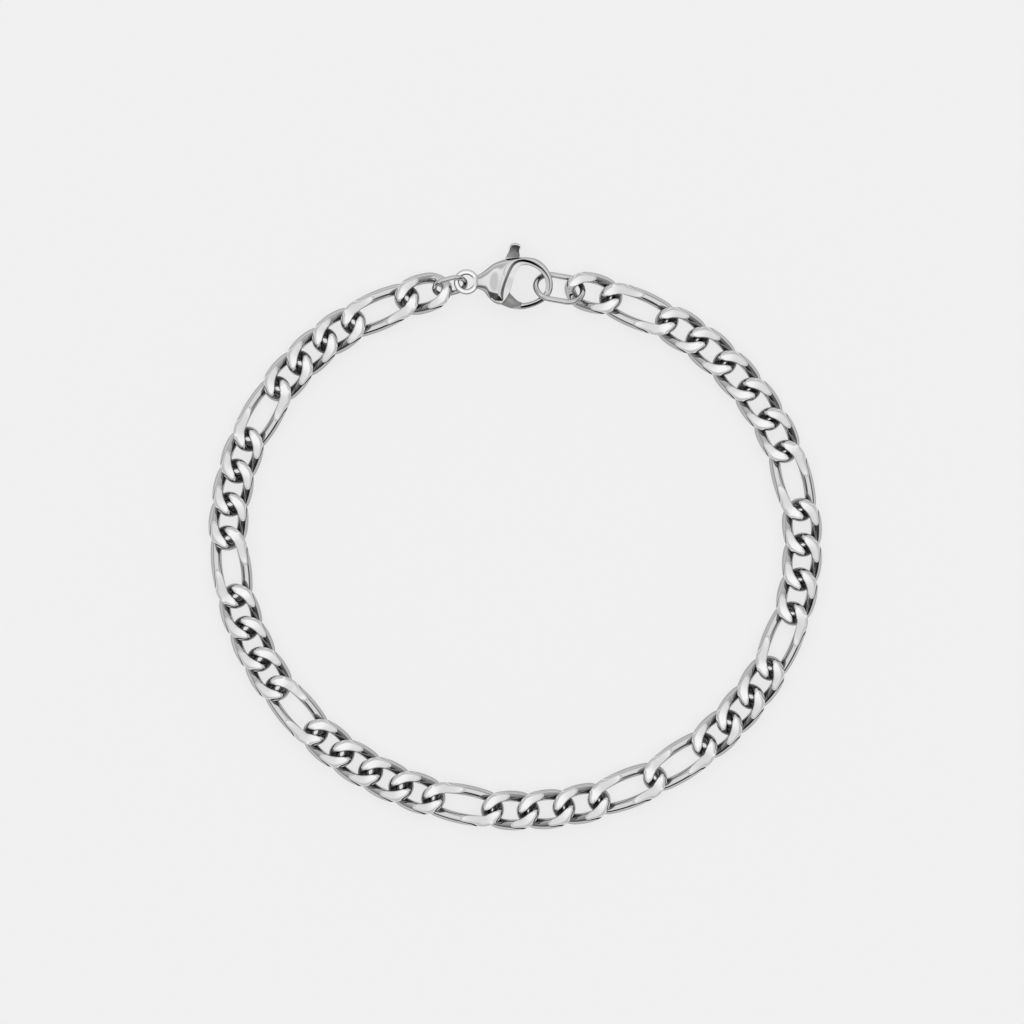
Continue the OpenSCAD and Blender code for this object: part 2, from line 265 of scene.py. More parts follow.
def steel(name, tint, rough, uneven, scratch, cloud, crevice_shade, side, mark=None, mark_tint=None):
    """Polished steel: clouded tone, unevenly fine polish, hairline scratches, brighter worn edges, painted
    shade in crevices, where the polish is also rougher, and painted shade on steep sides. Where the mesh
    attribute named mark is 1, the colour is mark_tint."""
    mat = bpy.data.materials.new(name)
    mat.use_nodes = True
    tree = mat.node_tree
    tree.nodes.clear()
    out = add(tree, "ShaderNodeOutputMaterial")
    shader = add(tree, "ShaderNodeBsdfPrincipled", Metallic=1.0)
    tree.links.new(shader.outputs["BSDF"], out.inputs["Surface"])
    where = add(tree, "ShaderNodeTexCoord").outputs["Object"]

    dark = tuple(c * (1 - cloud) for c in tint)
    light = tuple(min(1.0, c * (1 + cloud)) for c in tint)
    colour = blend_colours(tree, noise(tree, where, CLOUDS), dark, light)
    if mark:
        marked = add(tree, "ShaderNodeAttribute", attribute_name=mark)
        colour = blend_colours(tree, marked.outputs["Fac"], colour, mark_tint)
    shape = add(tree, "ShaderNodeNewGeometry")
    edge = range_map(tree, shape.outputs["Pointiness"], *EDGE_SHARP, 0.0, EDGE_WEAR)
    colour = blend_colours(tree, edge, colour, WORN_TINT)
    # Painted shade: where ambient occlusion finds walls near, the colour darkens toward the crevice tint
    # and the polish gets rougher
    nook = add(tree, "ShaderNodeAmbientOcclusion", samples=8, Distance=CREVICE_REACH * MM)
    shade_and_dullness = range_map(tree, nook.outputs["AO"], *CREVICE_OPEN, crevice_shade, 0.0)
    colour = blend_colours(tree, shade_and_dullness, colour, CREVICE_SHADE_TINT)
    # Painted shade: the steeper a face, the more its colour darkens toward the side tint, by the strength
    # side
    upright = add(tree, "ShaderNodeSeparateXYZ")
    tree.links.new(shape.outputs["Normal"], upright.inputs[0])
    level = add(tree, "ShaderNodeMath", operation="ABSOLUTE")
    tree.links.new(upright.outputs["Z"], level.inputs[0])
    side_shade_share = range_map(tree, level.outputs[0], *SIDE_LEVEL, side, 0.0)
    colour = blend_colours(tree, side_shade_share, colour, SIDE_SHADE_TINT)
    tree.links.new(colour, shader.inputs["Base Color"])

    polish = range_map(tree, noise(tree, where, SMEARS), *SMEAR_SPREAD, rough - uneven, rough + uneven)
    rougher = add(tree, "ShaderNodeMath", operation="MULTIPLY_ADD")
    rougher.inputs[1].default_value = CREVICE_ROUGH
    tree.links.new(shade_and_dullness, rougher.inputs[0])
    tree.links.new(polish, rougher.inputs[2])
    tree.links.new(rougher.outputs[0], shader.inputs["Roughness"])

    turn = add(tree, "ShaderNodeMapping", Rotation=HAIR_TURN, Scale=HAIR_STRETCH)
    tree.links.new(where, turn.inputs["Vector"])
    bump = add(tree, "ShaderNodeBump", Strength=scratch, Distance=HAIR_DEPTH)
    tree.links.new(noise(tree, turn.outputs["Vector"], HAIRS), bump.inputs["Height"])
    tree.links.new(bump.outputs["Normal"], shader.inputs["Normal"])
    return mat


# In each steel below, the crevice and side numbers set how strong its painted shade is in crevices and on
# steep sides
CHAIN = steel("chain_steel", (0.64, 0.64, 0.64), rough=0.09, uneven=0.03, scratch=0.03, cloud=0.03,
              crevice_shade=0.85, side=0.50, mark="ground", mark_tint=(0.66, 0.66, 0.66))
CLASP = steel("clasp_steel", (0.71, 0.71, 0.71), rough=0.09, uneven=0.03, scratch=0.03, cloud=0.03,
              crevice_shade=0.55, side=0.85)
GATE = steel("gate_steel", (0.22, 0.22, 0.215), rough=0.22, uneven=0.05, scratch=0.08, cloud=0.05,
             crevice_shade=0.30, side=0.42)
RINGS = steel("ring_steel", (0.63, 0.63, 0.63), rough=0.09, uneven=0.03, scratch=0.03, cloud=0.03,
              crevice_shade=0.85, side=0.60)
LEVER = steel("lever_steel", (0.62, 0.62, 0.62), rough=0.12, uneven=0.04, scratch=0.06, cloud=0.04,
              crevice_shade=0.30, side=0.70, mark="shade", mark_tint=(0.05, 0.05, 0.05))
PIN = steel("pin_steel", (0.50, 0.50, 0.50), rough=0.18, uneven=0.05, scratch=0.05, cloud=0.04,
            crevice_shade=0.30, side=0.42)


def dress(obj, material, body, node):
    """Gives a piece its material and the body it rides on, and hides the solid it stands for."""
    obj.data.materials.clear()
    obj.data.materials.append(material)
    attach(obj, body)
    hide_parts(node)


# Chain

END_STEPS = 30
SIDE_STEPS = 26
# Height of the shoulders beside a ground face, outside and toward the link's hole, how far the face
# itself reaches either way, the places where a section's top has points, and how far and over what
# length the face sinks on its way from the link's tip
OUTER_DROP = 0.30
INNER_DROP = 0.08
OUTER_FACE = 0.35
INNER_FACE = 0.84
TOP_SHARES = (0.98, 0.93, 0.87, 0.80, 0.72, 0.63, 0.54, 0.45, 0.36, 0.1, -0.3, -0.7, -0.83, -0.88, -0.92,
              -0.95, -0.98)
SINK = 0.26
SINK_LEN = 4.5
# Steps up the side of a section, the angle between the last of them and the shoulder, how low a
# shoulder may end as a share of the wire's radius, how a shoulder falls away, and the least depth
# ground off that counts as ground
RISE_STEPS = 8
RISE_GAP = math.radians(4)
SHOULDER_LEAST = 0.08
SHOULDER_FALL = 1.7
GROUND_LEAST = 0.002
# Edges of a link sharper than this, in degrees, look sharp
LINK_CREASE = 25


def oval(half_len, r, end_steps, side_steps):
    """Middle line of a loop with round ends."""
    right = arc((half_len - r, 0), r, 90, -90, end_steps - 1)
    left = arc((r - half_len, 0), r, -90, -270, end_steps - 1)
    shares = [2 * i / (side_steps + 1) - 1 for i in range(1, side_steps + 1)]
    low = [(-(half_len - r) * share, -r) for share in shares]
    high = [((half_len - r) * share, r) for share in shares]
    return np.array(right + low + left + high)


def wire_half(reach, r, outside):
    """Half a wire's section from one side over the top to the other, as (side, up) pairs with marks.
    What is above reach is ground off, with a narrow shoulder beside the ground face toward the link's
    hole and a broad one outside. The face is marked 1, and outside is the sign of the outer side."""
    reach = min(reach, r)
    tops = {}
    for side, drop in ((outside, OUTER_DROP), (-outside, INNER_DROP)):
        tops[side] = math.asin(max((reach - drop) / r, SHOULDER_LEAST))
    shares = [k / RISE_STEPS for k in range(RISE_STEPS + 1)]
    rise = {side: [(tops[side] - RISE_GAP) * share for share in shares] for side in tops}
    pairs = [(r * math.cos(t), r * math.sin(t)) for t in rise[1]]
    marks = [0.0] * (RISE_STEPS + 1)
    for u in sorted((share * outside for share in TOP_SHARES), reverse=True):
        side = 1 if u > 0 else -1
        face = OUTER_FACE if side == outside else INNER_FACE
        past = max(abs(u) - face, 0) / (1 - face)
        x = r * math.cos(tops[side]) * u
        ground = reach - (reach - r * math.sin(tops[side])) * past ** SHOULDER_FALL
        round_wire = math.sqrt(r * r - x * x)
        marks.append(1.0 if past == 0 and ground < round_wire - GROUND_LEAST else 0.0)
        pairs.append((x, min(ground, round_wire)))
    pairs += [(-r * math.cos(t), r * math.sin(t)) for t in reversed(rise[-1][1:])]
    marks += [0.0] * RISE_STEPS
    return pairs, marks


def link_mesh(outer_len, side_steps):
    """One twisted link, ground flat above and below, lying along X about the origin: its points, its
    faces and a mark for each point, 1 on a ground face."""
    r = WIRE_D / 2
    half_len = outer_len / 2 - r
    flat = oval(half_len, LINK_WIDTH / 2 - r, END_STEPS, side_steps)
    turn = np.radians(-TWIST * flat[:, 0] / half_len)
    line = np.stack([flat[:, 0], flat[:, 1] * np.cos(turn), flat[:, 1] * np.sin(turn)], axis=1)
    way = unit(np.roll(line, -1, 0) - np.roll(line, 1, 0))
    side = unit(np.cross(UP, way))
    up = np.cross(way, side)
    points, ground = [], []
    for at, aside, upright in zip(line, side, up):
        gone = min((half_len - abs(at[0])) / SINK_LEN, 1.0)
        drop = SINK * (1 - math.cos(math.pi * gone)) / 2
        for sign in (1, -1):
            pairs, marks = wire_half((HALF_THICK - drop - sign * at[2]) / upright[2], r, sign)
            points += [at + sign * (aside * x + upright * y) for x, y in pairs]
            ground += marks
    return np.array(points), flip(tube_faces(len(line), len(points) // len(line), closed=True)), ground


def chain_link(name, shapes):
    """A link's dense mesh, laid where its solid lies."""
    centre, along, _, _ = node_frame(name)
    points, _ = node_points(name)
    reach = np.ptp((points - centre) @ along)
    shape, faces, ground = shapes["long" if reach > (SHORT_LEN + LONG_LEN) / 2 else "short"]
    along = unit(np.array([along[0], along[1], 0.0]))
    across = np.cross(UP, along)
    middle = np.array([centre[0], centre[1], HALF_THICK])
    obj = new_object(name + "_wire", middle + shape @ np.array([along, across, UP]), faces)
    set_attribute(obj, "ground", ground)
    crisp(obj, LINK_CREASE)
    dress(obj, CHAIN, "bracelet", name)


# A long link has half as many points again along its sides
LINK_SHAPES = {"short": link_mesh(SHORT_LEN, SIDE_STEPS), "long": link_mesh(LONG_LEN, SIDE_STEPS * 3 // 2)}
for node_name in sorted(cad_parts):
    if node_name.startswith("link_"):
        chain_link(node_name, LINK_SHAPES)

# Rings

# Points round the wire, then round each end of a ring and along each of its sides
RING_SIDES = 24
RING_STEPS = (36, 10)


def ring(name, outer_len, outer_width, wire):
    """A ring's dense mesh, laid where its solid lies."""
    centre, along, across, normal = node_frame(name)
    flat = oval((outer_len - wire) / 2, (outer_width - wire) / 2, *RING_STEPS)
    way = unit(np.roll(flat, -1, 0) - np.roll(flat, 1, 0))
    points = []
    for at, (x, y) in zip(flat, way):
        out = along * -y + across * x
        for k in range(RING_SIDES):
            t = 2 * math.pi * k / RING_SIDES
            points.append(centre + along * at[0] + across * at[1]
                          + wire / 2 * (out * math.cos(t) + normal * math.sin(t)))
    faces = tube_faces(len(flat), RING_SIDES, closed=True)
    # The solid's three directions are a right-handed or a left-handed set
    if np.cross(along, across) @ normal > 0:
        faces = flip(faces)
    dress(new_object(name + "_wire", points, faces), RINGS, "bracelet", name)


ring("jump_ring", *JUMP_SIZES)
ring("end_ring", *END_SIZES)

# Clasp. It is made about the middle of its eye, then laid in place.

# What shares of reach and height are of; the lever's pin, its hub's radius and its gate's reach from it
SHARES = np.array([CLASP_REACH, CLASP_HEIGHT])
PIVOT = np.array([0.451, 0.106]) * SHARES
PIVOT_R = 0.145 * CLASP_HEIGHT
GATE_REACH = 0.625 * CLASP_HEIGHT
# Sections from the neck round to the nose of the hook, as shares of reach, height and thickness
CLASP_SECTIONS = np.array([
    # outer x, outer y, inner x, inner y, thickness
    [0.070, 0.190, 0.070, -0.190, 0.18],
    [0.105, 0.143, 0.105, -0.143, 0.26],
    [0.145, 0.142, 0.145, -0.140, 0.38],
    [0.220, 0.230, 0.203, -0.190, 0.56],
    [0.300, 0.335, 0.255, -0.300, 0.71],
    [0.381, 0.400, 0.324, -0.405, 0.82],
    [0.451, 0.437, 0.405, -0.430, 0.96],
    [0.509, 0.452, 0.468, -0.308, 1.00],
    [0.561, 0.462, 0.509, -0.163, 0.92],
    [0.613, 0.469, 0.543, 0.048, 0.82],
    [0.665, 0.471, 0.578, 0.221, 0.69],
    [0.728, 0.467, 0.636, 0.312, 0.55],
    [0.815, 0.433, 0.740, 0.308, 0.44],
    [0.902, 0.327, 0.836, 0.217, 0.34],
    [0.965, 0.173, 0.896, 0.096, 0.30],
    [0.997, -0.010, 0.917, -0.029, 0.29],
    [0.986, -0.192, 0.911, -0.160, 0.30],
    [0.931, -0.327, 0.871, -0.250, 0.32],
    [0.850, -0.423, 0.803, -0.337, 0.36],
    [0.751, -0.490, 0.728, -0.385, 0.41],
    [0.676, -0.521, 0.665, -0.402, 0.44],
    [0.630, -0.529, 0.630, -0.400, 0.44]])
# Rows before the hook's, sections laid from each of them to the next and from each of the hook's, and
# points round a section
BODY_ROWS = 12
BODY_STEPS = 16
HOOK_STEPS = 8
CLASP_SIDES = 144
# Points of the fine outline from which a section's even steps are taken
FINE_STEPS = 1440
# Fullness of a section's outer and inner half by row: 1 is an ellipse, less is squarer
OUTER_FULLNESS = ((0, 4, 9, 13, 16, 18, 21), (0.75, 0.74, 0.74, 0.85, 0.90, 1.20, 1.05))
INNER_FULLNESS = ((0, 4, 6, 8, 11, 13, 21), (0.75, 0.68, 0.57, 0.57, 0.72, 0.80, 0.80))

# Rounding of the eye's edges and the points round it and round each edge
EYE_ROUND = 0.22
EYE_STEPS = 96
EYE_EDGE_STEPS = 6
# Points round the plate's hub, round the disc that shapes the gate's end, and round the pin's hole
DISC_STEPS = 64
REACH_STEPS = 128
PIN_HOLE_STEPS = 32

# Outlines as shares of reach and height. They run counterclockwise apart from the thumb piece's, which
# the stem's foot closes.
THUMB_SHARES = [(0.440, 0.400), (0.468, 0.520), (0.497, 0.615), (0.509, 0.692), (0.530, 0.731),
                (0.561, 0.747), (0.595, 0.731), (0.619, 0.692), (0.621, 0.650), (0.613, 0.615),
                (0.614, 0.560), (0.619, 0.500), (0.600, 0.400)]
STEM_FOOT = [(0.530, 0.150), (0.380, 0.200)]
GATE_SHARES = [(0.530, 0.140), (0.375, 0.050), (0.385, -0.250), (0.390, -0.425), (0.400, -0.600),
               (0.600, -0.600), (0.645, -0.440), (0.645, -0.400), (0.600, -0.372), (0.565, -0.325),
               (0.515, -0.240), (0.497, -0.200), (0.510, -0.100)]
TONGUE_SHARES = [(0.500, -0.500), (0.555, -0.522), (0.610, -0.529), (0.640, -0.527), (0.640, -0.402),
                 (0.500, -0.410)]
UNDERSIDE_SHARES = [(0.350, -0.395), (0.405, -0.440), (0.480, -0.490), (0.555, -0.530),
                    (0.700, -0.560), (0.700, 0.300), (0.350, 0.300)]
# The thick part's two lowest corners, and the points along its outline and along its base
THUMB_FOOT = [(0.4552, 0.465), (0.6124, 0.465)]
THUMB_STEPS = 89
THUMB_BASE_STEPS = 14
# How much wider each side of the thumb piece's head is than the solid, the share of that by distance
# up the plan, where its middle is, and over what length one side changes to the other
THUMB_WIDER = 0.10
THUMB_WIDER_AT = ((3.6, 4.2, 4.8), (0, 1, 1))
THUMB_MIDDLE = 6.0
THUMB_CROSSING = 0.25
# The width of its rim and the share of that by distance up the plan, the rounding inside the rim and
# the width of the slope down to the face, how deep the face is sunk and dished, the rounding of the
# edges, and the rings of points over the face
THUMB_RIM = 0.26
THUMB_RIM_AT = ((3.3, 3.6, 4.3, 4.75), (0.12, 0.25, 0.40, 1.0))
THUMB_LIP = 0.03
THUMB_SLOPE = 0.05
THUMB_SINK = 0.12
THUMB_DISH = 0.05
THUMB_EDGE = 0.09
THUMB_FACE_RINGS = (0.85, 0.7, 0.5, 0.3, 0.1)
# Where the middle of a rounding lies, as a share of its radius
ROUND_MIDDLE = 0.3
# Darkness of the sunk face: a place on it, how dark it is there, how much darker it gets a millimetre
# to the right and up, and the least
SHADE_AT = (5.9, 3.9)
SHADE_TONE = 0.90
SHADE_RISE = (0.20, 0.30)
SHADE_LEAST = 0.4
# The sunk face's points are those no higher than this above its edge and at least this above the plate
SUNK_OVER_FACE = 0.01
SUNK_OVER_PLATE = 0.05
# Rounding of the plate's edges: its width, its steps, and how sharp an edge it needs, in degrees
PLATE_ROUND = (0.08, 2, 40)
# How upright a face's normal and how near to the plate's height its middle is, for it to be the plate's
FLAT_NORMAL = 0.95
FLAT_SLACK = 0.01
# Edges sharper than this, in degrees, look sharp
BODY_CREASE = 24
LEVER_CREASE = 30

# Bevels of the body's front edges: the path of the edge, and along it the bevel's width, its height at
# its crease, its slope, and how far beyond the crease the crown stays steep. All are in millimetres
# from the eye's middle.
RIGHT_EDGE = np.array([
    # x, y, width, crease height, slope, steep width
    [5.20, -3.10, 0.70, 0.80, 0.30, 0.30],
    [5.24, -2.30, 0.72, 0.95, 0.30, 0.30],
    [5.32, -1.50, 0.76, 1.10, 0.30, 0.30],
    [5.50, -0.70, 0.76, 1.22, 0.30, 0.28],
    [5.78, 0.31, 0.68, 1.24, 0.30, 0.26],
    [6.16, 1.41, 0.56, 0.98, 0.30, 0.26],
    [6.50, 1.85, 0.50, 0.80, 0.28, 0.27],
    [7.00, 2.04, 0.40, 0.64, 0.25, 0.28],
    [7.88, 1.97, 0.26, 0.46, 0.22, 0.29],
    [8.90, 1.39, 0.28, 0.33, 0.20, 0.28],
    [9.54, 0.61, 0.34, 0.29, 0.20, 0.26],
    [9.77, -0.19, 0.38, 0.29, 0.20, 0.25],
    [9.70, -1.02, 0.38, 0.32, 0.20, 0.24],
    [9.28, -1.60, 0.40, 0.80, 0.20, 0.10]])
LOWER_EDGE = np.array([
    [1.90, -1.00, 0.10, 1.30, 0.30, 0.20],
    [2.30, -1.50, 0.12, 0.85, 0.30, 0.45],
    [2.85, -2.10, 0.18, 0.74, 0.30, 0.70],
    [3.45, -2.58, 0.25, 0.80, 0.30, 0.85],
    [4.20, -2.72, 0.28, 0.90, 0.30, 0.92],
    [4.80, -2.74, 0.28, 0.92, 0.30, 0.92],
    [5.60, -2.74, 0.28, 0.92, 0.30, 0.92]])
HOOK_EDGE = np.array([
    [6.60, -3.40, 0.05, 0.48, 0.30, 0.40],
    [7.20, -3.33, 0.05, 0.45, 0.30, 0.40],
    [8.00, -3.14, 0.05, 0.39, 0.30, 0.40],
    [9.05, -2.71, 0.05, 0.31, 0.30, 0.40],
    [9.92, -2.09, 0.05, 0.29, 0.30, 0.40],
    [10.50, -1.23, 0.05, 0.60, 0.30, 0.40]])
# The crown beyond a crease: its steep slope, the middling slope after that and its width, and the
# gentle slope of the rest
RIGHT_SLOPES = (0.73, 0.42, 0.20, 0.21)
LOWER_SLOPES = (0.65, 0.65, 0.10, 0.65)
# Rounding of all creases
CREASE_ROUND = 0.08
# The least height that a bevel leaves
EDGE_LEAST = 0.12
# Each bevel's path and slopes, and the rows between which it lies
BEVELS = (
    (RIGHT_EDGE, RIGHT_SLOPES, 0, 17),
    (LOWER_EDGE, LOWER_SLOPES, 0, 12),
    (HOOK_EDGE, LOWER_SLOPES, 15, 21))
# Stations laid along a bevel's path for each of its rows
STATIONS_A_ROW = 24


def edge_cap(flat, path, slopes):
    """How high a bevel beside a path lets the body be at each place of its plan."""
    places = np.linspace(0, len(path) - 1, STATIONS_A_ROW * len(path))
    stations = np.array([along_rows(path, t) for t in places])
    way = unit(np.gradient(stations[:, :2], axis=0))
    reach = np.append(0, np.cumsum(np.linalg.norm(np.diff(stations[:, :2], axis=0), axis=1)))
    nearest = ((flat[:, None, :] - stations[None, :, :2]) ** 2).sum(2).argmin(1)
    along = ((flat - stations[nearest, :2]) * way[nearest]).sum(1)
    beyond = (nearest == len(stations) - 1) & (along > 0) | (nearest == 0) & (along < 0)
    where = reach[nearest] + along
    x, y, width, crease, slope, steep_width = (np.interp(where, reach, column) for column in stations.T)
    way_x, way_y = (np.interp(where, reach, column) for column in way.T)
    inward = (flat[:, 1] - y) * way_x - (flat[:, 0] - x) * way_y - width
    steep, middling, middling_width, gentle = slopes
    shoulder = crease + steep * steep_width
    crown = smooth_min(crease + steep * inward, shoulder + middling * (inward - steep_width), CREASE_ROUND)
    shoulder = shoulder + middling * middling_width
    crown = smooth_min(crown, shoulder + gentle * (inward - steep_width - middling_width), CREASE_ROUND)
    past = np.clip(inward / CREASE_ROUND + 0.5, 0, 1)
    past = past * past * (3 - 2 * past)
    height = (crease + slope * inward) * (1 - past) + crown * past
    return np.where(beyond, CLASP_THICK, height)


def smooth_min(a, b, reach):
    near = np.maximum(reach - np.abs(a - b), 0) / reach
    return np.minimum(a, b) - near * near * reach / 4


def even_section(outer_fullness, inner_fullness, half_len, half_thick):
    """A section's points at even steps round it, as shares of its half length and half thickness."""
    turns = 2 * math.pi * np.arange(FINE_STEPS + 1) / FINE_STEPS
    fullness = np.where(np.cos(turns) > 0, outer_fullness, inner_fullness)
    x = signed_power(np.cos(turns), fullness)
    z = signed_power(np.sin(turns), fullness)
    gone = np.append(0, np.cumsum(np.hypot(np.diff(x) * half_len, np.diff(z) * half_thick)))
    steps = gone[-1] * np.arange(CLASP_SIDES) / CLASP_SIDES
    return np.interp(steps, gone, x), np.interp(steps, gone, z)


def clasp_loft():
    """The body from its neck round to the nose of its hook, with its front edges bevelled."""
    body = np.arange(BODY_ROWS * BODY_STEPS) / BODY_STEPS
    hook = np.arange(BODY_ROWS * HOOK_STEPS, (len(CLASP_SECTIONS) - 1) * HOOK_STEPS + 1) / HOOK_STEPS
    places = np.concatenate([body, hook])
    points = []
    for place in places:
        row = along_rows(CLASP_SECTIONS, place)
        outer, inner = row[:2] * SHARES, row[2:4] * SHARES
        half_thick = row[4] * CLASP_THICK / 2
        across, upright = even_section(np.interp(place, *OUTER_FULLNESS), np.interp(place, *INNER_FULLNESS),
                                       np.linalg.norm(outer - inner) / 2, half_thick)
        flat = (outer + inner) / 2 + across[:, None] * (outer - inner) / 2
        points.append(np.column_stack([flat, half_thick * upright]))
    points = np.concatenate(points)
    height = np.abs(points[:, 2])
    place = np.repeat(places, CLASP_SIDES)
    for path, slopes, first, last in BEVELS:
        cap = np.maximum(edge_cap(points[:, :2], path, slopes), EDGE_LEAST)
        cap = np.where((place >= first) & (place <= last), cap, CLASP_THICK)
        height = smooth_min(height, cap, CREASE_ROUND)
    points[:, 2] = np.sign(points[:, 2]) * np.maximum(height, 0)
    return new_object("clasp_body_shell", points, flip(tube_faces(len(places), CLASP_SIDES, closed=False)))


def eye_ring():
    """The eye: a flat ring with rounded edges."""
    r = EYE_ROUND
    inner, outer, top = EYE_HOLE_D / 2 + r, EYE_D / 2 - r, EYE_THICK / 2 - r
    section = []
    for k, corner in enumerate(((outer, top), (inner, top), (inner, -top), (outer, -top))):
        section += arc(corner, r, 90 * k, 90 * (k + 1), EYE_EDGE_STEPS)
    points = []
    for k in range(EYE_STEPS):
        t = 2 * math.pi * k / EYE_STEPS
        points += [(x * math.cos(t), x * math.sin(t), z) for x, z in section]
    return new_object("eye", points, flip(tube_faces(EYE_STEPS, len(section), closed=True)))


def grown(outline, gap):
    """An outline, counterclockwise, moved outward by a gap. No corner moves further than twice that."""
    outline = np.array(outline)
    before = unit(outline - np.roll(outline, 1, 0))
    after = unit(np.roll(outline, -1, 0) - outline)
    turned = np.stack([before[:, 1] + after[:, 1], -before[:, 0] - after[:, 0]], axis=1)
    share = 1 + (before * after).sum(1)
    return outline + np.asarray(gap)[..., None] * turned / np.maximum(share, 0.5)[:, None]


def disc(name, centre, r, low, high, steps=DISC_STEPS):
    return prism(name, arc(centre, r, 0, 360, steps)[:-1], low, high)


def plate_parts(gap, half):
    """The lever's plate in three overlapping pieces: the disc round its pin, its stem and its gate.
    What shapes the gate is taller than the plate, so that no faces coincide."""
    gate = prism("gate", grown(np.array(GATE_SHARES) * SHARES, gap), -half, half)
    combine(gate, disc("reach", PIVOT, GATE_REACH + gap, -2 * half, 2 * half, REACH_STEPS), "INTERSECT")
    under = grown(np.array(UNDERSIDE_SHARES) * SHARES, gap)
    combine(gate, prism("under", under, -3 * half, 3 * half), "INTERSECT")
    stem = np.array(THUMB_SHARES + STEM_FOOT)[::-1] * SHARES
    stem = prism("stem", grown(stem, gap), -half, half)
    return [disc("hub", PIVOT, PIVOT_R + gap, -half, half), stem, gate]


def turn_about_pivot(obj, degrees):
    t = math.radians(degrees)
    middle = PIVOT * MM
    for v in obj.data.vertices:
        x, y = v.co[0] - middle[0], v.co[1] - middle[1]
        v.co[0] = middle[0] + x * math.cos(t) - y * math.sin(t)
        v.co[1] = middle[1] + x * math.sin(t) + y * math.cos(t)


def into_place(obj):
    """Moves a piece made about the eye's middle to where the clasp lies, by its hidden pin."""
    points, _ = node_points("clasp_pin")
    pin = (points.min(0) + points.max(0)) / 2
    cos, sin = math.cos(CLASP_TURN), math.sin(CLASP_TURN)
    turned = np.array([[cos, -sin], [sin, cos]])
    eye = pin - np.append(turned @ PIVOT, 0)
    for v in obj.data.vertices:
        flat = turned @ np.array(v.co[:2])
        v.co = (flat[0] + eye[0] * MM, flat[1] + eye[1] * MM, v.co[2] + eye[2] * MM)
    obj.data.update()


def pin_hole():
    return disc("hole", PIVOT, PIN_HOLE_D / 2, -PIN_HOLE_LEN / 2, PIN_HOLE_LEN / 2, PIN_HOLE_STEPS)


def nose_tongue(body):
    """The thin tongue of the nose that the gate's end shuts against, in line with the gate's plate."""
    half = LEVER_THICK / 2
    tongue = prism("tongue", np.array(TONGUE_SHARES) * SHARES, -half, half)
    reach = disc("reach", PIVOT, GATE_REACH + TONGUE_GAP, -2 * half, 2 * half, REACH_STEPS)
    combine(tongue, reach, "DIFFERENCE")
    combine(body, tongue, "UNION")


def clasp_body():
    """The body with its eye, the pin's hole, and a slot that lets the plate swing."""
    body = clasp_loft()
    combine(body, eye_ring(), "UNION")
    hole = disc("eye_hole", (0, 0), EYE_HOLE_D / 2, -CLASP_THICK, CLASP_THICK, EYE_STEPS)
    combine(body, hole, "DIFFERENCE")
    for turn in range(0, LEVER_SWING + 1, SWING_STEP):
        for part in plate_parts(SLOT_GAP, LEVER_THICK / 2 + SLOT_GAP):
            turn_about_pivot(part, turn)
            combine(body, part, "DIFFERENCE")
    combine(body, pin_hole(), "DIFFERENCE")
    nose_tongue(body)
    crisp(body, BODY_CREASE)
    plate = plate_faces(body)
    into_place(body)
    dress(body, CLASP, "bracelet", "clasp_body")
    dull(body, plate)


def thumb_piece():
    """The thick head of the lever, with a rim round the top of a dished face above and below."""
    corners = np.array(THUMB_FOOT[:1] + [p for p in THUMB_SHARES if p[1] >= 0.5] + THUMB_FOOT[1:]) * SHARES
    places = np.linspace(0, len(corners) - 1, THUMB_STEPS)
    corners = np.array([along_rows(corners, t) for t in places])[::-1]
    base = np.linspace(corners[-1], corners[0], THUMB_BASE_STEPS)[1:-1]
    corners = np.concatenate([corners, base])
    side = np.tanh((corners[:, 0] - THUMB_MIDDLE) / THUMB_CROSSING)
    corners[:, 0] += THUMB_WIDER * np.interp(corners[:, 1], *THUMB_WIDER_AT) * side
    half = THUMB_THICK / 2
    rim = np.interp(corners[:, 1], *THUMB_RIM_AT)
    bulge = THUMB_EDGE * ROUND_MIDDLE
    steps = [(0, half - THUMB_EDGE), (bulge, half - bulge), (THUMB_EDGE, half),
             (THUMB_RIM, half), (THUMB_RIM + THUMB_LIP, half - THUMB_LIP),
             (THUMB_RIM + THUMB_SLOPE, half - THUMB_SINK)]
    rings = [(grown(corners, -inset * rim), z) for inset, z in steps]
    face = rings[-1][0]
    middle = face.mean(0)
    for share in THUMB_FACE_RINGS:
        rings.append((middle + (face - middle) * share, half - THUMB_SINK - THUMB_DISH * (1 - share ** 2)))
    rings = [(ring, -z) for ring, z in reversed(rings)] + rings
    points = [(x, y, z) for ring, z in rings for x, y in ring]
    return new_object("thumb", points, tube_faces(len(rings), len(corners), closed=False))


def plate_faces(obj):
    """Numbers of the flat faces of the plate that the gate and the nose's tongue share."""
    found = []
    for face in obj.data.polygons:
        off_level = abs(abs(face.center[2]) / MM - LEVER_THICK / 2)
        low_enough = face.center[1] < (PIVOT[1] - PIVOT_R) * MM
        if low_enough and abs(face.normal[2]) > FLAT_NORMAL and off_level < FLAT_SLACK:
            found.append(face.index)
    return found


def dull(obj, faces):
    """Gives these faces a duller steel."""
    obj.data.materials.append(GATE)
    for i in faces:
        obj.data.polygons[i].material_index = 1


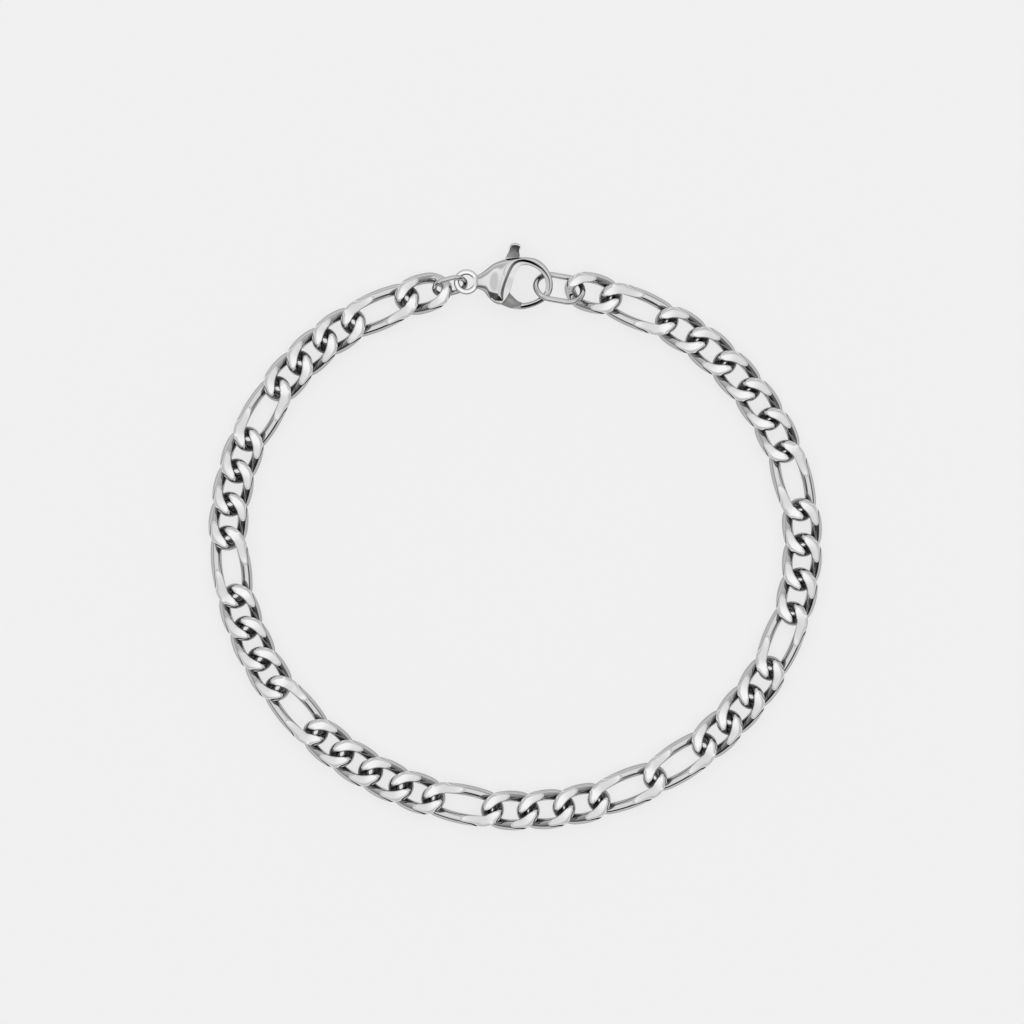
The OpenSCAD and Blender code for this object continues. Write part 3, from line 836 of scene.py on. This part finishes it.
def clasp_lever():
    """The lever: hub, stem and gate in one plate, and a thicker thumb piece with a dished face."""
    hub, stem, gate = plate_parts(0, LEVER_THICK / 2)
    hub.name = "clasp_lever_plate"
    combine(hub, stem, "UNION")
    combine(hub, gate, "UNION")
    combine(hub, pin_hole(), "DIFFERENCE")
    bevel(hub, *PLATE_ROUND)
    combine(hub, thumb_piece(), "UNION")
    crisp(hub, LEVER_CREASE)
    places = np.array([v.co[:] for v in hub.data.vertices]) / MM
    heights = np.abs(places[:, 2])
    sunk = heights < THUMB_THICK / 2 - THUMB_SINK + SUNK_OVER_FACE
    sunk &= heights > LEVER_THICK / 2 + SUNK_OVER_PLATE
    tone = SHADE_TONE + (places[:, :2] - SHADE_AT) @ SHADE_RISE
    set_attribute(hub, "shade", np.where(sunk, np.clip(tone, SHADE_LEAST, 1.0), 0.0))
    plate = plate_faces(hub)
    into_place(hub)
    dress(hub, LEVER, "lever", "clasp_lever")
    dull(hub, plate)


clasp_body()
clasp_lever()
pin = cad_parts["clasp_pin"]
pin.data.materials.clear()
pin.data.materials.append(PIN)

# Floor, light and camera

# Half the floor's side, in millimetres
FLOOR_REACH = 4000
# What the floor gives off by itself, as a light table does, and the tone of its paper
FLOOR_GLOW = 0.735
FLOOR_TONE = 0.19
floor = new_object("floor", [(-FLOOR_REACH, -FLOOR_REACH, 0), (FLOOR_REACH, -FLOOR_REACH, 0),
                             (FLOOR_REACH, FLOOR_REACH, 0), (-FLOOR_REACH, FLOOR_REACH, 0)], [(0, 1, 2, 3)])
paper = bpy.data.materials.new("floor_paper")
paper.use_nodes = True
paper_shader = paper.node_tree.nodes["Principled BSDF"]
for key, value in (("Base Color", (FLOOR_TONE, FLOOR_TONE, FLOOR_TONE, 1)), ("Roughness", 0.9),
                   ("Specular IOR Level", 0.0), ("Emission Color", (1, 1, 1, 1)),
                   ("Emission Strength", FLOOR_GLOW)):
    paper_shader.inputs[key].default_value = value
floor.data.materials.append(paper)

# Brightness of the light tent by degrees away from straight overhead, and how dark the band is that the
# tent's opening leaves round it, which is darkest toward the picture's lower edge
TENT = [(0, 1.00), (3, 0.96), (9, 0.74), (17, 0.54), (27, 0.53), (41, 0.80), (60, 0.74), (90, 0.80)]
OPENING = [(0, 0.0), (34, 0.0), (45, 0.15), (54, 1.0), (72, 1.0), (82, 0.3), (90, 0.1)]
OPENING_DEPTH = 0.68
OPENING_LEAN = (0.04, -0.36, 0.0)
TENT_STRENGTH = 1.45


def brightness_ramp(tree, share, stops):
    """Brightness through stops of degrees and value, where share is 1 at 90 degrees."""
    node = add(tree, "ShaderNodeValToRGB")
    tree.links.new(share, node.inputs[0])
    node.color_ramp.interpolation = "EASE"
    while len(node.color_ramp.elements) < len(stops):
        node.color_ramp.elements.new(0.5)
    for element, (degrees, value) in zip(node.color_ramp.elements, stops):
        element.position = degrees / 90
        element.color = (value, value, value, 1)
    return node.outputs["Color"]


def calculate(tree, operation, first, second=None):
    """A sum on sockets or numbers. A difference is kept between 0 and 1."""
    node = add(tree, "ShaderNodeMath", operation=operation, use_clamp=operation == "SUBTRACT")
    for socket, value in ((node.inputs[0], first), (node.inputs[1], second)):
        if isinstance(value, float):
            socket.default_value = value
        elif value is not None:
            tree.links.new(value, socket)
    return node.outputs[0]


world = bpy.data.worlds.new("studio")
bpy.context.scene.world = world
world.use_nodes = True
sky = world.node_tree
sky.nodes.clear()
sky_way = add(sky, "ShaderNodeTexCoord").outputs["Generated"]
sky_parts = add(sky, "ShaderNodeSeparateXYZ")
sky.links.new(sky_way, sky_parts.inputs[0])
from_top = calculate(sky, "DIVIDE", calculate(sky, "ARCCOSINE", sky_parts.outputs["Z"]), math.pi / 2)
lean = add(sky, "ShaderNodeVectorMath", operation="DOT_PRODUCT")
lean.inputs[1].default_value = OPENING_LEAN
sky.links.new(sky_way, lean.inputs[0])
depth = calculate(sky, "ADD", lean.outputs["Value"], OPENING_DEPTH)
shade = calculate(sky, "MULTIPLY", brightness_ramp(sky, from_top, OPENING), depth)
open_share = calculate(sky, "SUBTRACT", 1.0, shade)
tone = calculate(sky, "MULTIPLY", brightness_ramp(sky, from_top, TENT), open_share)
sky_light = add(sky, "ShaderNodeBackground", Strength=TENT_STRENGTH)
sky.links.new(tone, sky_light.inputs["Color"])
sky.links.new(sky_light.outputs[0], add(sky, "ShaderNodeOutputWorld").inputs[0])

# The camera looks straight down: its sensor's width in millimetres, and in metres the width and the
# middle of what it sees at the chain's mid-height, and its height above that
SENSOR = 36
VIEW_WIDTH = 0.12595
VIEW_MIDDLE = (-0.00041, 0.00308)
CAM_HEIGHT = 0.75
cam_data = bpy.data.cameras.new("camera")
cam_data.sensor_width = SENSOR
cam_data.lens = SENSOR * CAM_HEIGHT / VIEW_WIDTH
cam_data.clip_start = 0.01
camera = bpy.data.objects.new("camera", cam_data)
camera.location = (*VIEW_MIDDLE, CAM_HEIGHT + HALF_THICK * MM)
bpy.context.scene.collection.objects.link(camera)
bpy.context.scene.camera = camera
bpy.context.scene.view_settings.view_transform = "Standard"
